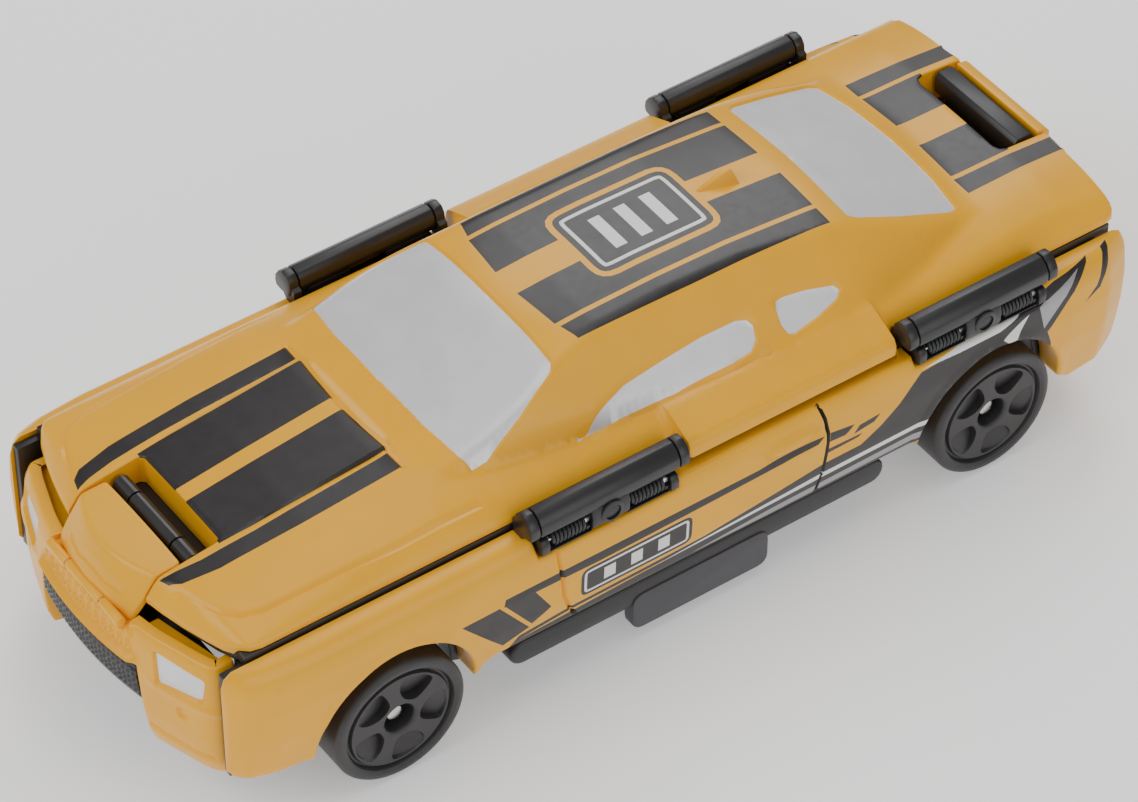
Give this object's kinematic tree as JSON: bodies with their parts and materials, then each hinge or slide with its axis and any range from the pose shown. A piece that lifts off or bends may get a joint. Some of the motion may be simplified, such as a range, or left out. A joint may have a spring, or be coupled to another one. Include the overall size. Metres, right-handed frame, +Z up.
{
  "type": "flip-over toy car",
  "caption": "Flip-over toy car: yellow sports coupe on a black frame, with hinged side, nose and tail panels that fold over to show a second body, and free-rolling wheels.",
  "frame": {"origin": "centre of the bounding box's base, on the ground between the four wheels", "axes": "-Y towards the car's nose, +X to the car's left, +Z up"},
  "size_m": [0.0534, 0.135, 0.0393],
  "materials": {
    "yellow_abs": "gloss moulded or sprayed yellow",
    "black_abs": "satin black moulding",
    "black_spring": "blackened spring wire",
    "wheel_black": "fine-grained black moulding",
    "steel": "bright plated steel pin"
  },
  "bodies": {
    "core": {"upper_body_shell": "yellow_abs", "middle_frame": "black_abs", "lower_body_shell": "black_abs", "nose_pin": "steel", "rear_pin": "steel", "link_pin_left_front": "steel", "link_pin_left_rear": "steel", "link_pin_right_front": "steel", "link_pin_right_rear": "steel"},
    "left_links": {"link_left_front": "black_abs", "link_left_rear": "black_abs", "panel_pin_left_front": "steel", "panel_pin_left_rear": "steel", "spring_left_front_a": "black_spring", "spring_left_front_b": "black_spring", "spring_left_rear_a": "black_spring", "spring_left_rear_b": "black_spring"},
    "left_side": {"side_panel_left": "yellow_abs", "side_skin_left": "black_abs", "axle_pin_left_front": "steel", "axle_pin_left_rear": "steel", "panel_screw_left_front": "steel", "panel_screw_left_rear": "steel"},
    "left_front_wheel": {"wheel_left_front": "wheel_black"},
    "left_rear_wheel": {"wheel_left_rear": "wheel_black"},
    "right_links": {"link_right_front": "black_abs", "link_right_rear": "black_abs", "panel_pin_right_front": "steel", "panel_pin_right_rear": "steel", "spring_right_front_a": "black_spring", "spring_right_front_b": "black_spring", "spring_right_rear_a": "black_spring", "spring_right_rear_b": "black_spring"},
    "right_side": {"side_panel_right": "yellow_abs", "side_skin_right": "black_abs", "axle_pin_right_front": "steel", "axle_pin_right_rear": "steel", "panel_screw_right_front": "steel", "panel_screw_right_rear": "steel"},
    "right_front_wheel": {"wheel_right_front": "wheel_black"},
    "right_rear_wheel": {"wheel_right_rear": "wheel_black"},
    "nose": {"nose_plate": "yellow_abs", "nose_strap": "black_abs"},
    "front_end": {"front_bumper": "yellow_abs", "front_dam": "black_abs", "bumper_pin": "steel"},
    "rear_end": {"rear_panel": "yellow_abs", "rear_skin": "black_abs"}
  },
  "joints": [
    {"name": "left_link_fold", "type": "hinge", "parent": "core", "child": "left_links", "pos_m": [0.0245, 0.0147, 0.0273], "axis": [0, -1, 0], "range_deg": [0, 161.68]},
    {"name": "left_side_fold", "type": "hinge", "parent": "left_links", "child": "left_side", "pos_m": [0.025, 0.0147, 0.0242], "axis": [0, -1, 0], "range_deg": [0, 18.34]},
    {"name": "left_front_wheel_spin", "type": "hinge", "parent": "left_side", "child": "left_front_wheel", "pos_m": [0.0238, -0.04125, 0.00875], "axis": [1, 0, 0], "continuous": true},
    {"name": "left_rear_wheel_spin", "type": "hinge", "parent": "left_side", "child": "left_rear_wheel", "pos_m": [0.0238, 0.04375, 0.00875], "axis": [1, 0, 0], "continuous": true},
    {"name": "right_link_fold", "type": "hinge", "parent": "core", "child": "right_links", "pos_m": [-0.0245, 0.0147, 0.0273], "axis": [0, 1, 0], "range_deg": [0, 161.68]},
    {"name": "right_side_fold", "type": "hinge", "parent": "right_links", "child": "right_side", "pos_m": [-0.025, 0.0147, 0.0242], "axis": [0, 1, 0], "range_deg": [0, 18.34]},
    {"name": "right_front_wheel_spin", "type": "hinge", "parent": "right_side", "child": "right_front_wheel", "pos_m": [-0.0238, -0.04125, 0.00875], "axis": [1, 0, 0], "continuous": true},
    {"name": "right_rear_wheel_spin", "type": "hinge", "parent": "right_side", "child": "right_rear_wheel", "pos_m": [-0.0238, 0.04375, 0.00875], "axis": [1, 0, 0], "continuous": true},
    {"name": "nose_fold", "type": "hinge", "parent": "core", "child": "nose", "pos_m": [0, -0.05575, 0.0269], "axis": [-1, 0, 0], "range_deg": [0, 43.19]},
    {"name": "front_end_fold", "type": "hinge", "parent": "nose", "child": "front_end", "pos_m": [0, -0.06535, 0.0231], "axis": [-1, 0, 0], "range_deg": [0, 136.91]},
    {"name": "rear_end_fold", "type": "hinge", "parent": "core", "child": "rear_end", "pos_m": [0, 0.06215, 0.0282], "axis": [1, 0, 0], "range_deg": [0, 180]}
  ],
  "couplings": [
    {"joint": "left_side_fold", "follows": "left_link_fold", "ratio": 0.11331},
    {"joint": "right_side_fold", "follows": "right_link_fold", "ratio": 0.11331},
    {"joint": "front_end_fold", "follows": "nose_fold", "ratio": 3.1676}
  ]
}
